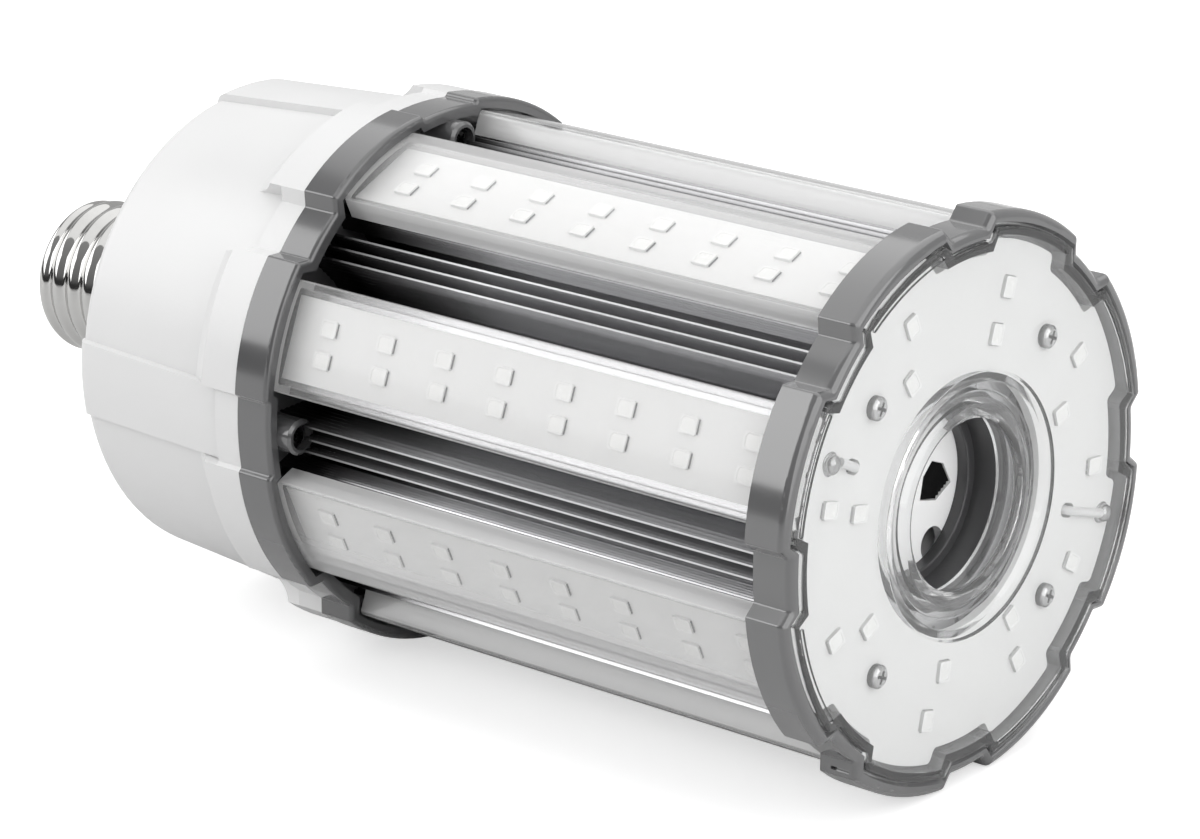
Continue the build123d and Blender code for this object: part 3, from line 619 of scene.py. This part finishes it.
# ---------------------------------------------------------------- staging ----
floor = mesh_obj("floor", [(-4, -4, 0), (4, -4, 0), (4, 4, 0), (-4, 4, 0)], [(0, 1, 2, 3)], [], smooth=False)
mf, nt, out = new_mat("floor_white")
b = principled(nt, (0.70, 0.70, 0.70), rough=0.6)
n = noise(nt, coords(nt), scale=30.0, detail=2)
nt.links.new(to_range(nt, n, 0.55, 0.65), b.inputs["Roughness"])
# the floor looks white all over, with a faint shadow, and adds no light of its own to the lamp
b.inputs["Emission Color"].default_value = (1, 1, 1, 1)
lp = nt.nodes.new("ShaderNodeLightPath")
glow = nt.nodes.new("ShaderNodeMath")
glow.operation = "MULTIPLY"
glow.inputs[1].default_value = 0.58
nt.links.new(lp.outputs["Is Camera Ray"], glow.inputs[0])
nt.links.new(glow.outputs[0], b.inputs["Emission Strength"])
nt.links.new(b.outputs[0], out.inputs["Surface"])
floor.data.materials.append(mf)
floor.location = (0, 0, -0.00005)

world = bpy.data.worlds.new("studio")
bpy.context.scene.world = world
world.use_nodes = True
wn = world.node_tree
wn.nodes.clear()
wo = wn.nodes.new("ShaderNodeOutputWorld")
bg = wn.nodes.new("ShaderNodeBackground")
tc = wn.nodes.new("ShaderNodeTexCoord")
sep = wn.nodes.new("ShaderNodeSeparateXYZ")
wn.links.new(tc.outputs["Generated"], sep.inputs[0])
cr = wn.nodes.new("ShaderNodeValToRGB")
e = cr.color_ramp.elements
while len(e) < 5:
    e.new(0.5)
for i, (p, c) in enumerate([(0.0, 0.20), (0.47, 0.06), (0.54, 0.05), (0.61, 0.22), (1.0, 0.45)]):
    e[i].position = p
    e[i].color = (c, c, c, 1)
mr = wn.nodes.new("ShaderNodeMapRange")
mr.inputs["From Min"].default_value = -1
mr.inputs["From Max"].default_value = 1
wn.links.new(sep.outputs["Z"], mr.inputs["Value"])
wn.links.new(mr.outputs["Result"], cr.inputs["Fac"])
# the side of the room behind the lamp is bright down to the floor
back = wn.nodes.new("ShaderNodeMapRange")
back.interpolation_type = "SMOOTHSTEP"
back.inputs["From Min"].default_value = -0.05
back.inputs["From Max"].default_value = 0.45
wn.links.new(sep.outputs["Y"], back.inputs["Value"])
wm = wn.nodes.new("ShaderNodeMix")
wm.data_type = "RGBA"
wm.inputs[7].default_value = (0.62, 0.62, 0.62, 1)
wn.links.new(back.outputs["Result"], wm.inputs[0])
wn.links.new(cr.outputs["Color"], wm.inputs[6])
wn.links.new(wm.outputs[2], bg.inputs["Color"])
bg.inputs["Strength"].default_value = 1.0
wn.links.new(bg.outputs[0], wo.inputs["Surface"])


def area(name, loc, target, size, power, size_y=None):
    l = bpy.data.lights.new(name, "AREA")
    l.energy = power
    l.size = size
    if size_y:
        l.shape = "RECTANGLE"
        l.size_y = size_y
    o = bpy.data.objects.new(name, l)
    bpy.context.scene.collection.objects.link(o)
    o.location = loc
    o.rotation_mode = "QUATERNION"
    o.rotation_quaternion = (Vector(target) - Vector(loc)).to_track_quat("-Z", "Y")
    return o


area("panel_left", (-0.86, -0.80, 0.66), (0, 0, 0.05), 1.7, 12.2, 0.86)
area("panel_top", (-0.05, 0.22, 1.25), (0, 0, 0.04), 2.1, 11.8, 1.8)
area("panel_end", (1.05, -0.15, 0.50), (0.09, 0, 0.045), 1.3, 8.2, 1.1)

# ----------------------------------------------------------------- camera ----
cam_data = bpy.data.cameras.new("camera")
cam_data.sensor_fit = "HORIZONTAL"
cam_data.sensor_width = 36.0
cam_data.lens = 145.18
cam_data.clip_start = 0.05
cam_data.clip_end = 20.0
cam = bpy.data.objects.new("camera", cam_data)
bpy.context.scene.collection.objects.link(cam)
right = Vector((0.75517, 0.65525, -0.01937))
down = Vector((0.20258, -0.26136, -0.94375))
fwd = Vector((-0.62345, 0.70877, -0.33012))
rot = Matrix((right, -down, -fwd)).transposed()
cam.matrix_world = Matrix.Translation((0.4973, -0.5382, 0.29255)) @ rot.to_4x4()
bpy.context.scene.camera = cam

bpy.context.scene.view_settings.view_transform = "Standard"
bpy.context.scene.view_settings.look = "None"
